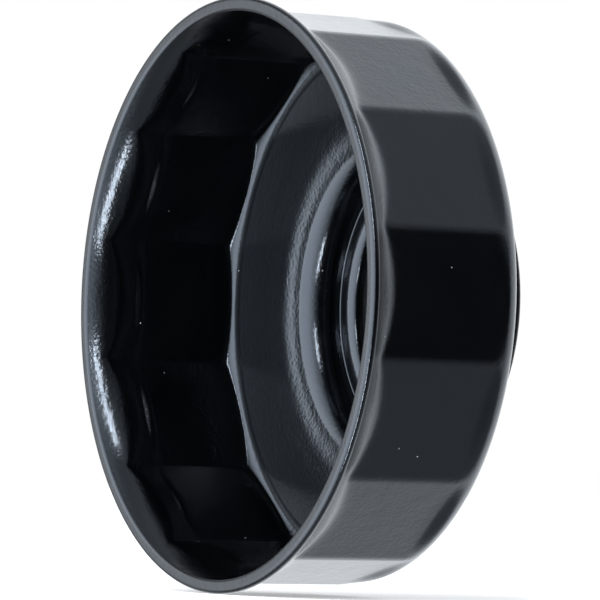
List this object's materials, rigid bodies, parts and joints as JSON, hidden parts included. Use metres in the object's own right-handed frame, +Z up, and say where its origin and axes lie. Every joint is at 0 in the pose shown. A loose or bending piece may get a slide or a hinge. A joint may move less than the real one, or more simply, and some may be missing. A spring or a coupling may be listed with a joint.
{
  "type": "oil filter wrench",
  "caption": "Cap-type oil filter wrench: a pressed steel cup with flats in its wall grips the filter, and a square drive on its boss takes a ratchet.",
  "frame": {"origin": "middle of the square hole, on the outer face of the drive hub", "axes": "+Y along the drive axis, out of the square towards the ratchet; the mouth faces -Y; +Z up, through a corner between two flats"},
  "size_m": [0.0824, 0.038, 0.0824],
  "materials": {
    "black_coating": "semi-gloss black coating on pressed steel",
    "black_oxide_steel": "turned steel, black oxide"
  },
  "bodies": {
    "root": {"cup": "black_coating", "drive_hub": "black_oxide_steel"}
  },
  "joints": []
}
